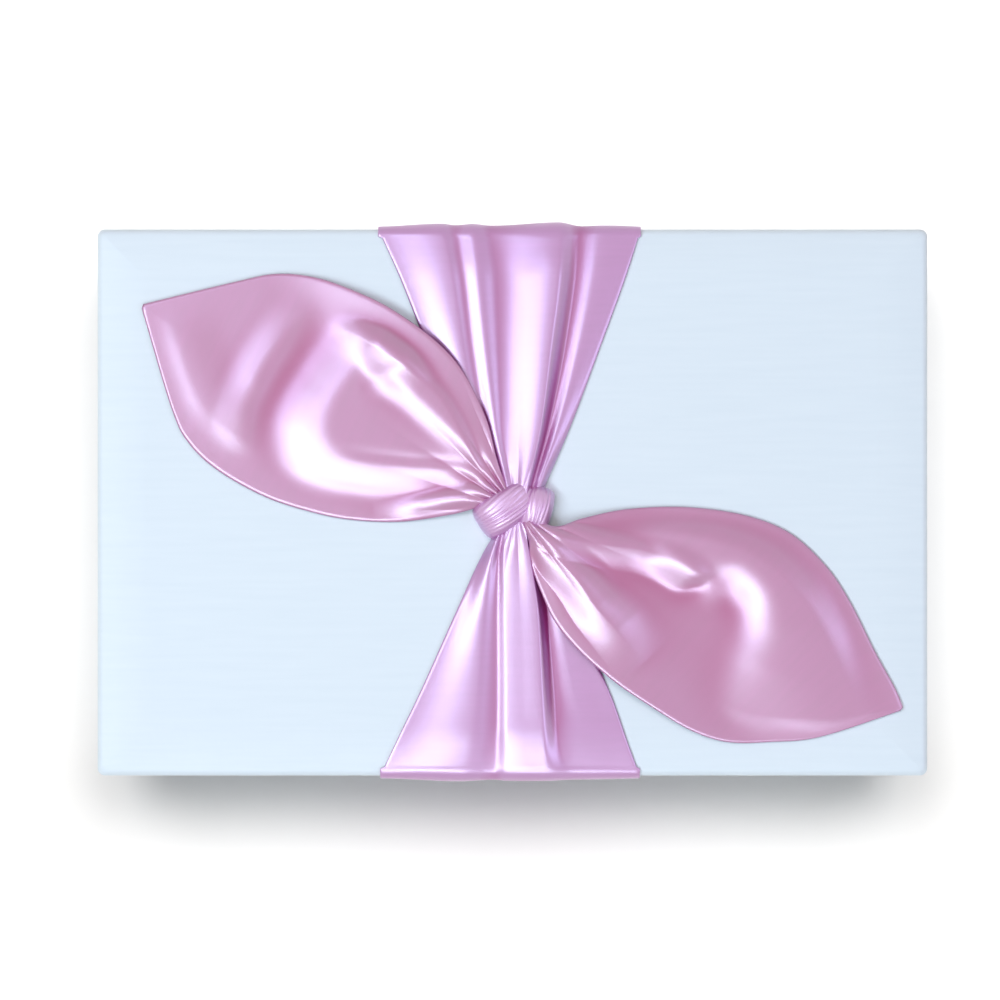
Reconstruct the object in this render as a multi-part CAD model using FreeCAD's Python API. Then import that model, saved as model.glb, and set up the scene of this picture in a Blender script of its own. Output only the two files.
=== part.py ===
"""A satin-covered gift box with a lift-off padded lid and a knotted satin sash.

Frame: +Z up, X along the box, the back edge of the lid at +Y, origin at the middle of the
underside, on the surface that the box stands on.  Millimetres throughout.
"""
import FreeCAD, Part
import math
import os

from FreeCAD import Vector

# Driving dimensions: the lid, over its satin
LID_LENGTH = 240.0
LID_WIDTH = 158.0
LID_OVERLAP = 30.0  # how far the skirt comes down over the base
EDGE_RADIUS = 2.0  # rounding of the padded top edge
CORNER_EASE = 0.2  # how much rounder the upright corners are than the top edge
LID_TURN_IN = 18.0  # satin folded up inside the skirt

# Sheet thicknesses
BOARD = 2.0  # greyboard
SATIN = 0.4  # satin on its paper backing
STAY = 0.15  # gummed corner tape
LINING_CARD = 0.8  # satin-covered lining card
LID_WADDING = 4.0
BOTTOM_SHEET = 0.3

# Base
BASE_HEIGHT = 58.0
FIT_CLEARANCE = 1.5  # between the skirt's satin and the base's satin, each side
RIM_TURN_IN = 12.0  # satin folded over the rim and down inside
UNDER_TURN_IN = 15.0  # satin folded under the floor
SHEET_INSET = 2.5  # bottom sheet, in from the base's outline
STAY_LEG = 14.0  # reach of the corner tape along each wall
STAY_END_GAP = 1.5  # tape stops short of the boards' top and bottom edges
LINING_DROP = 4.0  # side linings stop below the rim
LID_LINING_GAP = 1.0  # lid lining, in from the skirt boards

# Padded floor inside the base
PAD_HEIGHT = 7.0
PAD_CARD = 1.0
PAD_EDGE = 3.5  # rounding of the pad's top edge
PAD_CLEARANCE = 0.4  # between the pad and the side linings
PAD_TURN_IN = 12.0

# Sash
SASH_LIE = 0.1  # gap that keeps the sash clear of the satin under it
SASH_CLOTH = 0.5  # two layers of satin, sewn as a flat tube
SASH_WIDTH = 76.0  # where the sash crosses the lid's long edges
SASH_SHIFT = -0.8  # its middle there, from the lid's middle
SASH_TURN_IN = 14.0  # sash folded up inside the skirt
EDGE_RISE = 0.3  # height of the folds as they roll over the lid's edge
BAND_RISE = 2.4  # height of the folds beside the knot
BAND_RIDGES = (1.3, 0.7, 1.1, 1.2)  # relative widths of the band's folds
BAND_STATIONS = (0.3, 0.65)  # shares of the way from the knot to the edge, for the folds' forms
VALLEY_SHARE = 0.5  # width of the valley between two folds, beside a fold of width 1

# Knot, on the line of the tails
KNOT_X = 1.3
KNOT_Y = -2.2
TAIL_SLOPE = 27.8  # degrees, the tails' line below the X axis on the right
KNOT_BORE = 4.2  # inside radius of the turns
KNOT_THICKNESS = 4.6  # cloth in one turn
KNOT_TURN_LENGTH = 10.5  # the wide turn, along the tails' line
KNOT_SECOND_LENGTH = 6.0  # the narrow turn beside it
KNOT_SECOND_DROP = 0.9  # how much lower the narrow turn stands
KNOT_RISE = 0.5  # pleats on the turns
KNOT_WIDE_RIDGES = (1.0, 1.4, 1.0)  # relative widths of the pleats
KNOT_NARROW_RIDGES = (1.0, 1.0)
KNOT_WAIST = 0.85  # the gripped strand's radius halfway, as a share of that at its mouths

# Tails: leaves, each with two arcs for an outline
TAIL_LENGTH = 115.0
TAIL_WIDTH = 63.0
TAIL_ROOT = 13.0  # width where a tail leaves the knot
TAIL_TIP = 2.0  # width of the sewn point
TAIL_RISE = 3.0  # height of the folds where the tail is widest
TAIL_CLEARANCE = 0.3  # between the highest fold of a band and the tail that arches over it
TAIL_RIDGES = (1.0, 1.3, 1.0)
TAIL_CLOTH = 1.0  # double cloth with the air it traps
TAIL_STATIONS = (  # shares of its length, and of the arch's height there
    (0.0, 0.6), (0.1, 1.0), (0.24, 0.92), (0.42, 0.62), (0.6, 0.32), (0.8, 0.1), (1.0, 0.0),
)

# Sizes that follow
LID_CORNER = EDGE_RADIUS + CORNER_EASE
LID_OUTER = (LID_LENGTH, LID_WIDTH)
LID_CORE = (LID_OUTER[0] - 2 * SATIN, LID_OUTER[1] - 2 * SATIN)  # inside the satin
LID_BOARDS = (LID_CORE[0] - 2 * STAY, LID_CORE[1] - 2 * STAY)
LID_INSIDE = (LID_BOARDS[0] - 2 * BOARD, LID_BOARDS[1] - 2 * BOARD)
LID_CLEAR = (LID_INSIDE[0] - 2 * SATIN, LID_INSIDE[1] - 2 * SATIN)
BASE_OUTER = (LID_CLEAR[0] - 2 * FIT_CLEARANCE, LID_CLEAR[1] - 2 * FIT_CLEARANCE)
BASE_CORE = (BASE_OUTER[0] - 2 * SATIN, BASE_OUTER[1] - 2 * SATIN)
BASE_BOARDS = (BASE_CORE[0] - 2 * STAY, BASE_CORE[1] - 2 * STAY)
BASE_INSIDE = (BASE_BOARDS[0] - 2 * BOARD, BASE_BOARDS[1] - 2 * BOARD)
BASE_CLEAR = (BASE_INSIDE[0] - 2 * SATIN, BASE_INSIDE[1] - 2 * SATIN)
LINED = (BASE_CLEAR[0] - 2 * LINING_CARD, BASE_CLEAR[1] - 2 * LINING_CARD)
PAD = (LINED[0] - 2 * PAD_CLEARANCE, LINED[1] - 2 * PAD_CLEARANCE)

FLOOR_LOW = BOTTOM_SHEET + SATIN
FLOOR_TOP = FLOOR_LOW + BOARD
RIM_BOARD = BASE_HEIGHT - SATIN
LID_RIM = BASE_HEIGHT - LID_OVERLAP
LID_BOARD_LOW = BASE_HEIGHT + LINING_CARD
LID_BOARD_TOP = LID_BOARD_LOW + BOARD
LID_TOP = LID_BOARD_TOP + LID_WADDING + SATIN
PAD_TOP = FLOOR_TOP + PAD_HEIGHT

SASH_SEAT = LID_TOP + SASH_LIE
BAND_FOOT_CLOTH = KNOT_THICKNESS / 2  # bunched cloth where a band leaves the knot
BAND_FOOT_RISE = BAND_RISE / 3
RIM_RISE = EDGE_RISE / 2  # folds pressed flatter where the sash turns in
KNOT_OUTER = KNOT_BORE + KNOT_THICKNESS
KNOT_LENGTH = KNOT_TURN_LENGTH + KNOT_SECOND_LENGTH
KNOT_MIDDLE = Vector(KNOT_X, KNOT_Y, SASH_SEAT)
TAIL_DIRECTION = Vector(math.cos(math.radians(TAIL_SLOPE)), -math.sin(math.radians(TAIL_SLOPE)), 0)
UP = Vector(0, 0, 1)
KNOT_SIDE = UP.cross(TAIL_DIRECTION)  # level, square to the tails, towards the back

SIDES = {"front": -1, "back": 1}
ENDS = {"left": -1, "right": 1}


def block(size, low, high):
    """A square-edged block, centred on the Z axis."""
    length, width = size
    return Part.makeBox(length, width, high - low, Vector(-length / 2, -width / 2, low))


def rounded_block(size, low, high, corner, top_edge=0.0):
    """A block with rounded upright corners and, where asked, a rounded top edge."""
    body = block(size, low, high)
    upright = [e for e in body.Edges if abs(e.Vertexes[0].Z - e.Vertexes[1].Z) > (high - low) / 2]
    body = body.makeFillet(corner, upright)
    if top_edge:
        rim = [e for e in body.Edges if min(v.Z for v in e.Vertexes) > high - 1e-6]
        body = body.makeFillet(top_edge, rim)
    return body


def wall_boards(outer, inside, low, high, corner):
    """Four boards round a box: front and back run full length, the ends fit between them."""
    outline = rounded_block(outer, low, high, corner)
    height = high - low
    boards = {}
    for name, way in SIDES.items():
        near = min(way * inside[1] / 2, way * outer[1] / 2)
        corner_point = Vector(-outer[0] / 2, near, low)
        plain = Part.makeBox(outer[0], (outer[1] - inside[1]) / 2, height, corner_point)
        boards[name] = plain.common(outline)
    for name, way in ENDS.items():
        near = min(way * inside[0] / 2, way * outer[0] / 2)
        corner_point = Vector(near, -inside[1] / 2, low)
        plain = Part.makeBox((outer[0] - inside[0]) / 2, inside[1], height, corner_point)
        boards[name] = plain.common(outline)
    return boards


def corner_stays(core, boards, low, high, corner):
    """Four strips of tape, each bent round one upright corner of the boards."""
    skin = rounded_block(core, low, high, corner)
    skin = skin.cut(rounded_block(boards, low, high, corner - STAY))
    strips = []
    for x_way in ENDS.values():
        for y_way in SIDES.values():
            reach = Part.makeBox(STAY_LEG, STAY_LEG, high - low)
            x_low = core[0] / 2 - STAY_LEG if x_way > 0 else -core[0] / 2
            y_low = core[1] / 2 - STAY_LEG if y_way > 0 else -core[1] / 2
            reach.translate(Vector(x_low, y_low, low))
            strips += skin.common(reach).Solids
    return Part.makeCompound(strips)


# The base
def base_boards():
    """Floor and four walls of greyboard; the walls stand round the floor."""
    corner = LID_CORNER - SATIN - STAY
    nodes = {"base_floor_board": block(BASE_INSIDE, FLOOR_LOW, FLOOR_TOP)}
    walls = wall_boards(BASE_BOARDS, BASE_INSIDE, FLOOR_LOW, RIM_BOARD, corner)
    for name, board in walls.items():
        nodes["base_%s_wall" % name] = board
    return nodes


def base_satin_wrap():
    """One skin round the walls, folded under the floor and over the rim."""
    wrap = rounded_block(BASE_OUTER, BOTTOM_SHEET, BASE_HEIGHT, LID_CORNER)
    wrap = wrap.cut(rounded_block(BASE_CORE, FLOOR_LOW, RIM_BOARD, LID_CORNER - SATIN))
    wrap = wrap.cut(block(BASE_CLEAR, FLOOR_TOP, BASE_HEIGHT + SATIN))
    under = (BASE_OUTER[0] - 2 * UNDER_TURN_IN, BASE_OUTER[1] - 2 * UNDER_TURN_IN)
    wrap = wrap.cut(block(under, 0, FLOOR_TOP))
    fold = block(BASE_INSIDE, BASE_HEIGHT - RIM_TURN_IN, BASE_HEIGHT)
    fold = fold.cut(block(BASE_CLEAR, BASE_HEIGHT - RIM_TURN_IN, BASE_HEIGHT))
    return wrap.fuse(fold).removeSplitter()


def base_bottom_sheet():
    """The sheet that hides the folds underneath; the box stands on it."""
    size = (BASE_OUTER[0] - 2 * SHEET_INSET, BASE_OUTER[1] - 2 * SHEET_INSET)
    return rounded_block(size, 0, BOTTOM_SHEET, LID_CORNER)


def base_linings():
    """Four satin-covered cards glued inside the walls, over the folded satin."""
    high = BASE_HEIGHT - LINING_DROP
    cards = {}
    for name, way in SIDES.items():
        near = min(way * LINED[1] / 2, way * BASE_CLEAR[1] / 2)
        start = Vector(-BASE_CLEAR[0] / 2, near, FLOOR_TOP)
        cards[name] = Part.makeBox(BASE_CLEAR[0], LINING_CARD, high - FLOOR_TOP, start)
    for name, way in ENDS.items():
        near = min(way * LINED[0] / 2, way * BASE_CLEAR[0] / 2)
        start = Vector(near, -LINED[1] / 2, FLOOR_TOP)
        cards[name] = Part.makeBox(LINING_CARD, LINED[1], high - FLOOR_TOP, start)
    return {"base_%s_lining" % name: card for name, card in cards.items()}


def base_pad():
    """The padded floor: a card, wadding over it, and satin drawn round both."""
    corner = PAD_EDGE + CORNER_EASE
    core = (PAD[0] - 2 * SATIN, PAD[1] - 2 * SATIN)
    low = FLOOR_TOP + SATIN
    card_top = low + PAD_CARD
    stuffed = rounded_block(core, low, PAD_TOP - SATIN, corner - SATIN, PAD_EDGE - SATIN)
    card = rounded_block(core, low, card_top, corner - SATIN)
    under = (PAD[0] - 2 * PAD_TURN_IN, PAD[1] - 2 * PAD_TURN_IN)
    cover = rounded_block(PAD, FLOOR_TOP, PAD_TOP, corner, PAD_EDGE).cut(stuffed)
    return {
        "base_pad_card": card,
        "base_pad_wadding": stuffed.cut(block(PAD, low, card_top)),
        "base_pad_cover": cover.cut(block(under, FLOOR_LOW, low)),
    }


# The lid
def lid_boards():
    """Top board with four skirt boards round it."""
    corner = LID_CORNER - SATIN - STAY
    nodes = {"lid_top_board": block(LID_INSIDE, LID_BOARD_LOW, LID_BOARD_TOP)}
    skirts = wall_boards(LID_BOARDS, LID_INSIDE, LID_RIM + SATIN, LID_BOARD_TOP, corner)
    for name, board in skirts.items():
        nodes["lid_%s_skirt" % name] = board
    return nodes


def lid_wadding():
    """The layer that pads the lid, out to the satin all round."""
    corner = LID_CORNER - SATIN
    return rounded_block(LID_CORE, LID_BOARD_TOP, LID_TOP - SATIN, corner, EDGE_RADIUS - SATIN)


def lid_satin_cover():
    """One skin over the wadding and skirts, folded under the rim and up inside."""
    corner = LID_CORNER - SATIN
    cover = rounded_block(LID_OUTER, LID_RIM, LID_TOP, LID_CORNER, EDGE_RADIUS)
    core = rounded_block(LID_CORE, LID_RIM + SATIN, LID_TOP - SATIN, corner, EDGE_RADIUS - SATIN)
    cover = cover.cut(core).cut(block(LID_CLEAR, LID_RIM - SATIN, LID_RIM + 2 * SATIN))
    fold = block(LID_INSIDE, LID_RIM, LID_RIM + LID_TURN_IN)
    fold = fold.cut(block(LID_CLEAR, LID_RIM, LID_RIM + LID_TURN_IN))
    return cover.fuse(fold).removeSplitter()


def lid_lining():
    """Satin-covered card inside the lid; it rests on the rim of the base."""
    size = (LID_INSIDE[0] - 2 * LID_LINING_GAP, LID_INSIDE[1] - 2 * LID_LINING_GAP)
    return block(size, BASE_HEIGHT, LID_BOARD_LOW)


# The sash
def pleated_section(middle, across, up, half_width, cloth, rise, ridges):
    """The outline of folded cloth cut across: flat below, ridges and valleys of arcs above."""
    pitch = 2 * half_width / (sum(ridges) + VALLEY_SHARE * (len(ridges) - 1))
    level = cloth + rise * VALLEY_SHARE
    left, right = -half_width, half_width

    def at(offset, height):
        return middle + across * offset + up * height

    edges = [
        Part.LineSegment(at(left, 0), at(right, 0)).toShape(),
        Part.LineSegment(at(right, 0), at(right, level)).toShape(),
    ]
    spans = []
    for number, width in enumerate(reversed(ridges)):
        if number:
            spans.append((VALLEY_SHARE * pitch, -rise * VALLEY_SHARE))
        spans.append((width * pitch, rise * width))
    start = right
    for span, bulge in spans:
        stop = start - span
        arc = Part.Arc(at(start, level), at((start + stop) / 2, level + bulge), at(stop, level))
        edges.append(arc.toShape())
        start = stop
    edges.append(Part.LineSegment(at(start, level), at(left, 0)).toShape())
    return Part.Wire(edges)


def band_folds(share):
    """A band's thickness of cloth and height of folds, at a share of the way from knot to edge."""
    cloth = SASH_CLOTH + (BAND_FOOT_CLOTH - SASH_CLOTH) * (1 - share) ** 2
    return cloth, BAND_RISE * (1 - share ** 2)


def sash_band(way):
    """One half of the sash: from the knot, over a long edge, down the skirt and in under it."""
    across = Vector(1, 0, 0)
    out = Vector(0, way, 0)
    edge_y = LID_WIDTH / 2 - EDGE_RADIUS
    foot = KNOT_MIDDLE + KNOT_SIDE * (way * (KNOT_OUTER + SASH_LIE))
    edge = Vector(SASH_SHIFT, way * edge_y, SASH_SEAT)
    sections = [
        pleated_section(foot, TAIL_DIRECTION, UP, KNOT_LENGTH / 2, BAND_FOOT_CLOTH,
                        BAND_FOOT_RISE, BAND_RIDGES),
    ]
    for share in BAND_STATIONS:
        middle = foot + (edge - foot) * share
        width = KNOT_LENGTH + (SASH_WIDTH - KNOT_LENGTH) * share
        cloth, rise = band_folds(share)
        sections.append(pleated_section(middle, across, UP, width / 2, cloth, rise, BAND_RIDGES))
    over = pleated_section(edge, across, UP, SASH_WIDTH / 2, SASH_CLOTH, EDGE_RISE, BAND_RIDGES)
    sections.append(over)
    top = Part.makeLoft(sections, True)

    roll_axis = Vector(0, way * edge_y, LID_TOP - EDGE_RADIUS)
    roll = Part.Face(over).revolve(roll_axis, across, -way * 90)

    face_y = way * (LID_WIDTH / 2 + SASH_LIE)
    rim_z = LID_RIM - SASH_LIE
    upper = Vector(SASH_SHIFT, face_y, LID_TOP - EDGE_RADIUS)
    lower = Vector(SASH_SHIFT, face_y, rim_z)
    drop = Part.makeLoft([
        pleated_section(upper, across, out, SASH_WIDTH / 2, SASH_CLOTH, EDGE_RISE, BAND_RIDGES),
        pleated_section(lower, across, out, SASH_WIDTH / 2, SASH_CLOTH, RIM_RISE, BAND_RIDGES),
    ], True)

    inner_y = way * (LID_CLEAR[1] / 2 - SASH_LIE)
    under = Part.makeBox(SASH_WIDTH, abs(face_y - inner_y) + 2 * SASH_CLOTH, SASH_CLOTH)
    under.translate(Vector(SASH_SHIFT - SASH_WIDTH / 2,
                           min(face_y + way * SASH_CLOTH, inner_y - way * SASH_CLOTH),
                           rim_z - SASH_CLOTH))
    inner = Part.makeBox(SASH_WIDTH, SASH_CLOTH, SASH_TURN_IN)
    inner.translate(Vector(SASH_SHIFT - SASH_WIDTH / 2,
                           min(inner_y, inner_y - way * SASH_CLOTH), rim_z))
    return top.fuse([roll, drop, under, inner])


def knot_turn(start, length, outer, ridges):
    """One turn of the knot: a pleated strap arched over the lid, square to the tails."""
    strap = outer - KNOT_BORE
    begin = KNOT_MIDDLE + TAIL_DIRECTION * (start + length / 2) + KNOT_SIDE * KNOT_BORE
    cloth = strap - KNOT_RISE * (max(ridges) + VALLEY_SHARE)
    outline = pleated_section(begin, TAIL_DIRECTION, KNOT_SIDE, length / 2, cloth, KNOT_RISE, ridges)
    return Part.Face(outline).revolve(KNOT_MIDDLE, TAIL_DIRECTION, 180)


def knot_core():
    """The strand that the turns grip, swelling a little at both mouths of the knot."""
    radius = KNOT_BORE - SASH_LIE
    half = KNOT_LENGTH / 2
    waist = KNOT_WAIST * radius

    def at(along, out):
        return KNOT_MIDDLE + TAIL_DIRECTION * along + KNOT_SIDE * out

    outline = Part.Wire([
        Part.LineSegment(at(-half, 0), at(half, 0)).toShape(),
        Part.LineSegment(at(half, 0), at(half, radius)).toShape(),
        Part.LineSegment(at(half, radius), at(0, waist)).toShape(),
        Part.LineSegment(at(0, waist), at(-half, radius)).toShape(),
        Part.LineSegment(at(-half, radius), at(-half, 0)).toShape(),
    ])
    return Part.Face(outline).revolve(KNOT_MIDDLE, TAIL_DIRECTION, 180)


def tail_half_width(share):
    """Half the leaf's width: an arc that springs from the root's corner and ends at the tip's."""
    chord = (TAIL_ROOT * (1 - share) + TAIL_TIP * share) / 2
    bulge = TAIL_WIDTH / 2 - (TAIL_ROOT + TAIL_TIP) / 4
    half_length = TAIL_LENGTH / 2
    radius = (half_length ** 2 + bulge ** 2) / (2 * bulge)
    off_middle = share * TAIL_LENGTH - half_length
    return chord + math.sqrt(radius ** 2 - off_middle ** 2) - (radius - bulge)


def sash_tail(way):
    """A tail: it springs from the knot over the band, lands on the lid and runs out to a point."""
    along = TAIL_DIRECTION * way
    across = UP.cross(along)
    root = KNOT_MIDDLE + along * (KNOT_LENGTH / 2 + SASH_LIE)
    band_cloth, band_rise = band_folds(BAND_STATIONS[0])
    arch = band_cloth + band_rise * (VALLEY_SHARE + max(BAND_RIDGES)) + TAIL_CLEARANCE
    sections = []
    for share, lift in TAIL_STATIONS:
        half_width = tail_half_width(share)
        rise = TAIL_RISE * 2 * half_width / TAIL_WIDTH
        middle = root + along * (share * TAIL_LENGTH) + UP * (lift * arch)
        sections.append(pleated_section(middle, across, UP, half_width, TAIL_CLOTH, rise, TAIL_RIDGES))
    return Part.makeLoft(sections, True)


def sash():
    """The sash by its stretches: two bands, the knot's two turns and core, two tails."""
    half = KNOT_LENGTH / 2
    narrow = KNOT_OUTER - KNOT_SECOND_DROP
    nodes = {"sash_%s_band" % name: sash_band(way) for name, way in SIDES.items()}
    nodes["sash_knot_wide_turn"] = knot_turn(-half, KNOT_TURN_LENGTH, KNOT_OUTER, KNOT_WIDE_RIDGES)
    nodes["sash_knot_narrow_turn"] = knot_turn(half - KNOT_SECOND_LENGTH, KNOT_SECOND_LENGTH, narrow,
                                               KNOT_NARROW_RIDGES)
    nodes["sash_knot_core"] = knot_core()
    for name, way in ENDS.items():
        nodes["sash_%s_tail" % name] = sash_tail(way)
    return nodes


def build():
    """Every node by name."""
    stay_corner = LID_CORNER - SATIN
    nodes = {}
    nodes.update(base_boards())
    nodes["base_corner_stays"] = corner_stays(BASE_CORE, BASE_BOARDS, FLOOR_LOW + STAY_END_GAP,
                                              RIM_BOARD - STAY_END_GAP, stay_corner)
    nodes["base_satin_wrap"] = base_satin_wrap()
    nodes["base_bottom_sheet"] = base_bottom_sheet()
    nodes.update(base_linings())
    nodes.update(base_pad())
    nodes.update(lid_boards())
    nodes["lid_corner_stays"] = corner_stays(LID_CORE, LID_BOARDS, LID_RIM + SATIN + STAY_END_GAP,
                                             LID_BOARD_TOP - STAY_END_GAP, stay_corner)
    nodes["lid_wadding"] = lid_wadding()
    nodes["lid_satin_cover"] = lid_satin_cover()
    nodes["lid_lining"] = lid_lining()
    nodes.update(sash())
    return nodes


os.makedirs("parts", exist_ok=True)
for node, shape in build().items():
    shape.exportStep(os.path.join("parts", node + ".step"))
    print("%-24s solids %d  valid %s  volume %.1f" % (node, len(shape.Solids), shape.isValid(), shape.Volume))
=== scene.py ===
"""The looks of a satin gift box with a padded lift-off lid and a knotted sash."""

import bpy
import numpy as np
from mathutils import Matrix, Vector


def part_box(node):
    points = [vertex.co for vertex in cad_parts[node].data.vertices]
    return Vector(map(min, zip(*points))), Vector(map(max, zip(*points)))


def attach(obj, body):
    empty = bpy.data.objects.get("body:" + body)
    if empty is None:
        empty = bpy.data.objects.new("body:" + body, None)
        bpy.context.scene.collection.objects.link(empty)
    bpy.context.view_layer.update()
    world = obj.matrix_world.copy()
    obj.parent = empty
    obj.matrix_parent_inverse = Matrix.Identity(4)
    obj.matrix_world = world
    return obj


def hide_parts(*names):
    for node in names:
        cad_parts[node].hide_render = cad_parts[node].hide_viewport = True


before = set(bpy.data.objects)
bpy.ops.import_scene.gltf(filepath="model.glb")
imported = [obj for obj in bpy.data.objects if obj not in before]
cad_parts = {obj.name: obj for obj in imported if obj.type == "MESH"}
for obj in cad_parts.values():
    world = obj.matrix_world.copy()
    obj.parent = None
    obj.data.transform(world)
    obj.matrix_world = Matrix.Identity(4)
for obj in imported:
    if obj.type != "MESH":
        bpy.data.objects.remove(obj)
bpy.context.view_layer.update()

# Greyboard carcass of the base and of the lid: floor, top and wall boards, cut from 2 mm
# recycled board and glued edge to face.  Nothing of it shows on the finished box.
MM = 0.001
SIDES = ("front", "back", "left", "right")


def linear(*srgb):
    """A colour given as 0 to 255 on screen, as the linear RGBA that a shader takes."""
    share = np.array(srgb) / 255
    bent = np.where(share <= 0.04045, share / 12.92, ((share + 0.055) / 1.055) ** 2.4)
    return (*bent.tolist(), 1.0)


def add_node(tree, kind, inputs=(), **settings):
    """A shader node with its options set, and each input given a value or another node's output."""
    made = tree.nodes.new(kind)
    for name, value in settings.items():
        setattr(made, name, value)
    for name, value in dict(inputs).items():
        if isinstance(value, bpy.types.NodeSocket):
            tree.links.new(value, made.inputs[name])
        else:
            made.inputs[name].default_value = value
    return made


def new_material(name, roughness, **sockets):
    """A material with one Principled shader; sockets are its plain numbers, by name."""
    material = bpy.data.materials.new(name)
    material.use_nodes = True
    shader = material.node_tree.nodes["Principled BSDF"]
    shader.inputs["Roughness"].default_value = roughness
    for socket, value in sockets.items():
        shader.inputs[socket.replace("_", " ")].default_value = value
    return material, material.node_tree, shader


def object_place(tree):
    """The point on the piece, in metres in the box's own frame."""
    return add_node(tree, "ShaderNodeTexCoord").outputs["Object"]


def mottle(tree, place, size, low, high, detail=4.0):
    """A colour that drifts between two others in soft patches of a given size."""
    noise = add_node(tree, "ShaderNodeTexNoise", {"Vector": place, "Scale": 1 / size, "Detail": detail})
    ramp = add_node(tree, "ShaderNodeMix", data_type="RGBA")
    tree.links.new(noise.outputs[0], ramp.inputs[0])
    ramp.inputs[6].default_value = low
    ramp.inputs[7].default_value = high
    return ramp.outputs[2], noise.outputs[0]


def stock_material(name, low, high, fibre, depth, roughness):
    """Paper or board: fibres of a given size mottle the colour and stand up a little."""
    material, tree, shader = new_material(name, roughness)
    colour, grain = mottle(tree, object_place(tree), fibre, low, high)
    bump = add_node(tree, "ShaderNodeBump", {"Height": grain, "Distance": depth})
    tree.links.new(colour, shader.inputs["Base Color"])
    tree.links.new(bump.outputs["Normal"], shader.inputs["Normal"])
    return material


def finish_nodes(material, *names):
    """Gives CAD pieces their finish."""
    for name in names:
        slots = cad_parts[name].data.materials
        slots.clear()
        slots.append(material)


greyboard = stock_material("greyboard", linear(150, 145, 134), linear(190, 184, 172),
                           fibre=1.2 * MM, depth=0.05 * MM, roughness=0.9)
finish_nodes(greyboard, "base_floor_board", "lid_top_board", "base_pad_card",
             *("base_%s_wall" % side for side in SIDES), *("lid_%s_skirt" % side for side in SIDES))

# Corner stays: gummed kraft tape, bent round the upright corners to hold the boards together.
kraft = stock_material("gummed_tape", linear(176, 146, 104), linear(198, 168, 124),
                       fibre=2.0 * MM, depth=0.02 * MM, roughness=0.8)
finish_nodes(kraft, "base_corner_stays", "lid_corner_stays")

# Bottom sheet: white paper glued under the floor, over the satin's turned edges.
paper = stock_material("white_paper", linear(226, 226, 222), linear(240, 240, 237),
                       fibre=3.0 * MM, depth=0.02 * MM, roughness=0.75)
finish_nodes(paper, "base_bottom_sheet")

# Satin skin and linings of the base: white satin on a paper backing, drawn round the walls,
# over the rim and under the floor; the linings are cards covered in the same satin.
WHITE = linear(235, 243, 248)
WHITE_SHADE = linear(228, 237, 243)
WHITE_ROUGHNESS = 0.42
THREAD = 0.3 * MM
FLOAT_THREADS = 5.0
THREAD_RELIEF = 0.02 * MM
# Coat weight left in the deepest creases: the gloss lost there is painted shade.
CREASE_SHADE_COAT = 0.15


def satin_weave():
    """Node group: long floats, each five threads by one, stepped from row to row, with thicker threads."""
    group = bpy.data.node_groups.new("satin_weave", "ShaderNodeTree")
    face = group.interface
    face.new_socket("Place", in_out="INPUT", socket_type="NodeSocketVector")
    face.new_socket("Thread", in_out="INPUT", socket_type="NodeSocketFloat")
    face.new_socket("Height", in_out="OUTPUT", socket_type="NodeSocketFloat")
    face.new_socket("Slub", in_out="OUTPUT", socket_type="NodeSocketFloat")
    taken = group.nodes.new("NodeGroupInput")
    given = group.nodes.new("NodeGroupOutput")
    pitch = add_node(group, "ShaderNodeMath", {0: 1.0, 1: taken.outputs["Thread"]}, operation="DIVIDE")
    counted = add_node(group, "ShaderNodeVectorMath", {0: taken.outputs["Place"]}, operation="SCALE")
    group.links.new(pitch.outputs[0], counted.inputs["Scale"])
    floats = add_node(group, "ShaderNodeTexBrick", {
        "Vector": counted.outputs[0], "Scale": 1.0, "Mortar Size": 0.45, "Mortar Smooth": 1.0,
        "Brick Width": FLOAT_THREADS, "Row Height": 1.0, "Color1": (1, 1, 1, 1),
        "Color2": (0.75, 0.75, 0.75, 1), "Mortar": (0, 0, 0, 1)}, offset=0.4, offset_frequency=2)
    stretch = add_node(group, "ShaderNodeMapping", {
        "Vector": counted.outputs[0], "Scale": (0.012, 0.16, 0.1)})
    slub = add_node(group, "ShaderNodeTexNoise", {
        "Vector": stretch.outputs[0], "Scale": 1.0, "Detail": 3.0})
    group.links.new(floats.outputs["Color"], given.inputs["Height"])
    group.links.new(slub.outputs[0], given.inputs["Slub"])
    return group


weave = satin_weave()


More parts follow.
